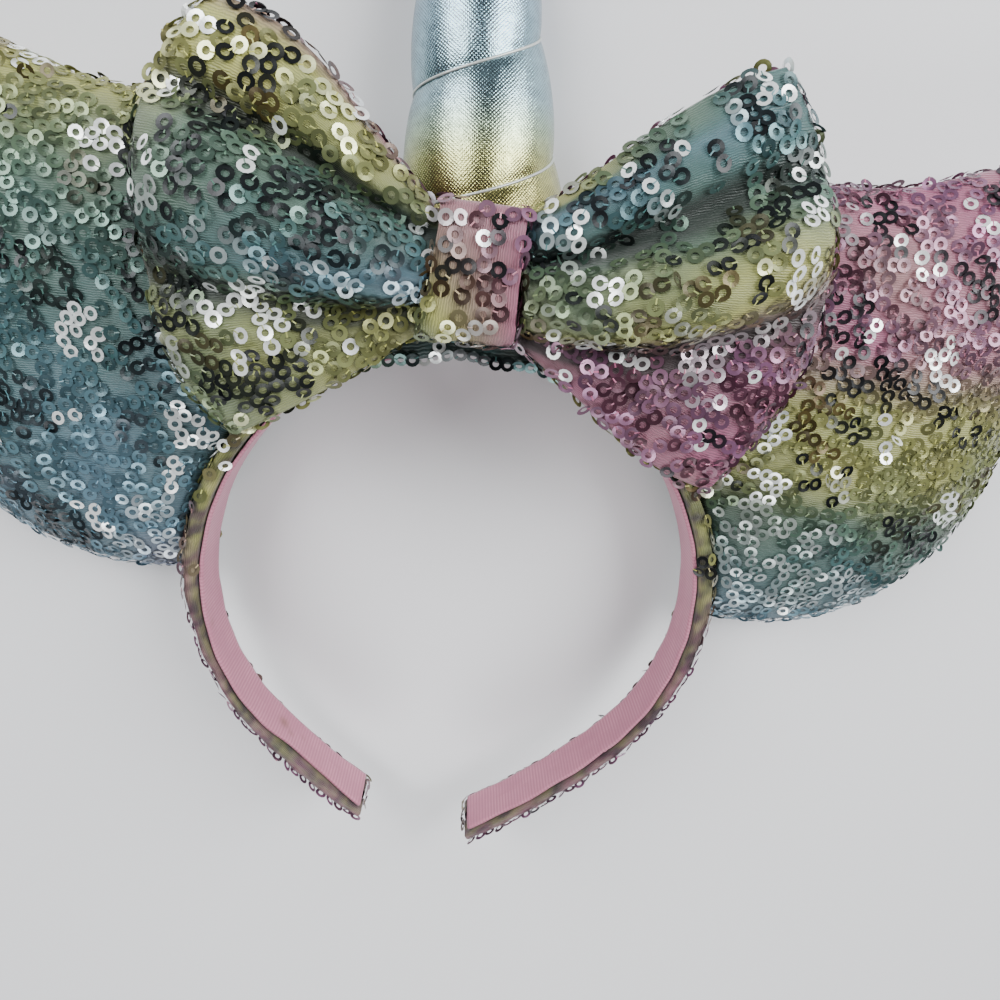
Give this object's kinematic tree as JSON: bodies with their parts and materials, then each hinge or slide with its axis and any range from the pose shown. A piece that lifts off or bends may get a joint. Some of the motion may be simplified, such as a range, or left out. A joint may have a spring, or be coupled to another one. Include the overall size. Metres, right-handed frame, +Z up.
{
  "type": "unicorn horn headband",
  "caption": "Costume hair band with padded leaf-shaped ears, a wound unicorn horn and a gathered sequin bow on a wrapped C-shaped band, lying on its back.",
  "frame": {"origin": "on the table, under the middle of the whole headband as it lies on its back", "axes": "+X to the right as the bow is looked at, +Y from the band's open end up to the horn's tip, +Z up, out of the front"},
  "size_m": [0.2726, 0.2762, 0.0571],
  "materials": {
    "olive_sequin_mesh": "open olive and gold mesh with scattered sequins, wrapped round a stiff core",
    "pink_grosgrain": "fine cross-ribbed ribbon, matt with a slight sheen",
    "ear_left_sequin_mesh": "knitted mesh under clustered ring sequins, green to blue",
    "ear_right_sequin_mesh": "knitted mesh under clustered ring sequins, pink through yellow to teal",
    "silver_lame": "foil-faced woven cloth, silver with a pastel fade",
    "bow_sequin_mesh": "knitted mesh under clustered ring sequins, in slanting pastel bands",
    "knot_sequin_mesh": "knitted mesh under clustered ring sequins, pink with a yellow corner"
  },
  "bodies": {
    "root": {"band": "olive_sequin_mesh", "ribbon_lining": "pink_grosgrain", "ear_left": "ear_left_sequin_mesh", "ear_right": "ear_right_sequin_mesh", "horn": "silver_lame", "bow": "bow_sequin_mesh", "bow_knot": "knot_sequin_mesh"}
  },
  "joints": []
}
